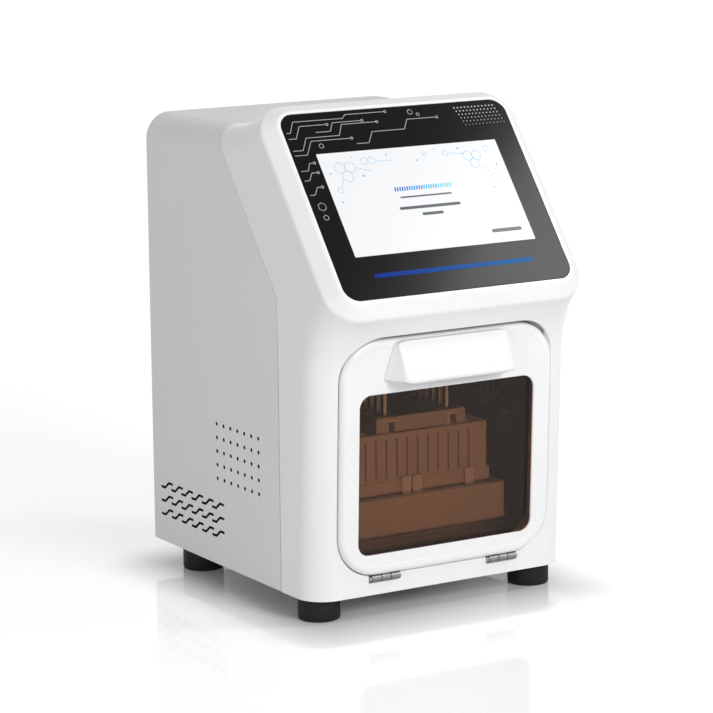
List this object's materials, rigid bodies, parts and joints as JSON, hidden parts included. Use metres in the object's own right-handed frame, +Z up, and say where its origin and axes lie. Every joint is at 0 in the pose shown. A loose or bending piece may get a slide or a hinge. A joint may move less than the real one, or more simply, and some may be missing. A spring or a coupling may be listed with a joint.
{
  "type": "nucleic acid extractor",
  "caption": "Bench-top magnetic-rod nucleic acid extractor with a tilted touch screen, a tinted drop-down door, a deep-well plate and tip combs inside.",
  "frame": {"origin": "middle of the foot print, on the bench", "axes": "+Z up, +X to the right as seen from the front, +Y to the back; the door faces -Y"},
  "size_m": [0.224, 0.2728, 0.3669],
  "materials": {
    "casing_paint": "satin",
    "panel_paint": "satin",
    "plated_steel": "brushed",
    "fascia_white": "gloss",
    "screen_glass": "gloss",
    "display_white": "gloss",
    "light_blue": "gloss",
    "board_green": "matt",
    "amber_pane": "gloss",
    "handle_white": "gloss",
    "black_rubber": "matt",
    "magnet_nickel": "gloss",
    "dark_liner": "matt",
    "aluminium": "satin",
    "tray_paint": "satin",
    "plate_plastic": "satin",
    "comb_plastic": "satin",
    "brass": "satin",
    "motor_black": "satin",
    "lamp_tube": "gloss",
    "black_plastic": "matt"
  },
  "bodies": {
    "cabinet": {"rear_casing": "casing_paint", "back_panel": "panel_paint", "base_plate": "plated_steel", "front_fascia": "fascia_white", "screen_glass": "screen_glass", "display_panel": "display_white", "status_light": "light_blue", "display_board": "board_green", "catch_plates": "plated_steel", "hinge_left_fixed_leaf": "plated_steel", "hinge_right_fixed_leaf": "plated_steel", "hinge_left_pin": "plated_steel", "hinge_right_pin": "plated_steel", "foot_front_left": "black_rubber", "foot_front_right": "black_rubber", "foot_rear_left": "black_rubber", "foot_rear_right": "black_rubber", "chamber_liner": "dark_liner", "bulkhead": "plated_steel", "tray_rails": "aluminium", "plate_tray": "tray_paint", "heater_block": "aluminium", "plate_clips": "plated_steel", "deep_well_plate": "plate_plastic", "head_rail": "plated_steel", "head_motor": "motor_black", "motor_bracket": "plated_steel", "uv_lamp": "lamp_tube", "power_supply": "plated_steel", "control_board": "board_green", "fan_frame": "black_plastic", "fan_guard": "plated_steel", "mains_inlet": "black_plastic", "switch_frame": "black_plastic", "usb_port": "plated_steel", "panel_screws": "plated_steel"},
    "door": {"door_frame": "fascia_white", "door_window": "amber_pane", "door_handle": "handle_white", "door_seal": "black_rubber", "door_magnets": "magnet_nickel", "hinge_left_door_leaf": "plated_steel", "hinge_right_door_leaf": "plated_steel"},
    "head": {"comb_holder": "tray_paint", "tip_comb_left": "comb_plastic", "tip_comb_right": "comb_plastic", "head_carriage": "aluminium", "head_rail_block": "plated_steel", "head_screw_nut": "brass", "rod_rail": "plated_steel", "rod_drive_motor": "motor_black"},
    "rod_head": {"rod_plate": "aluminium", "magnetic_rods": "magnet_nickel", "rod_carriage": "aluminium", "rod_rail_block": "plated_steel"},
    "head_screw": {"head_lead_screw": "plated_steel", "head_coupling": "aluminium"},
    "rod_screw": {"rod_drive_screw": "plated_steel"},
    "fan": {"fan_rotor": "black_plastic"},
    "rocker": {"switch_rocker": "black_plastic"}
  },
  "joints": [
    {"name": "door_hinge", "type": "hinge", "parent": "cabinet", "child": "door", "pos_m": [0, -0.10739, 0.02997], "axis": [1, 0, 0], "range_deg": [0, 90]},
    {"name": "head_lift", "type": "slide", "parent": "cabinet", "child": "head", "axis": [0, 0, 1], "range_m": [0, 0.044]},
    {"name": "rod_insert", "type": "slide", "parent": "head", "child": "rod_head", "axis": [0, 0, 1], "range_m": [-0.04, 0]},
    {"name": "head_screw_spin", "type": "hinge", "parent": "cabinet", "child": "head_screw", "pos_m": [0.034, 0.02908, 0.2], "axis": [0, 0, 1], "range_deg": [-1, 1981]},
    {"name": "rod_screw_spin", "type": "hinge", "parent": "head", "child": "rod_screw", "pos_m": [-0.03, 0.00409, 0.2], "axis": [0, 0, 1], "range_deg": [-3601, 1]},
    {"name": "fan_spin", "type": "hinge", "parent": "cabinet", "child": "fan", "pos_m": [0.045, 0.118, 0.19], "axis": [0, 1, 0], "continuous": true},
    {"name": "switch_rock", "type": "hinge", "parent": "cabinet", "child": "rocker", "pos_m": [-0.022, 0.13059, 0.074], "axis": [1, 0, 0], "range_deg": [-8, 8]}
  ],
  "couplings": [
    {"joint": "head_screw_spin", "follows": "head_lift", "rad_per_m": 785.4},
    {"joint": "rod_screw_spin", "follows": "rod_insert", "rad_per_m": 1570.8}
  ]
}
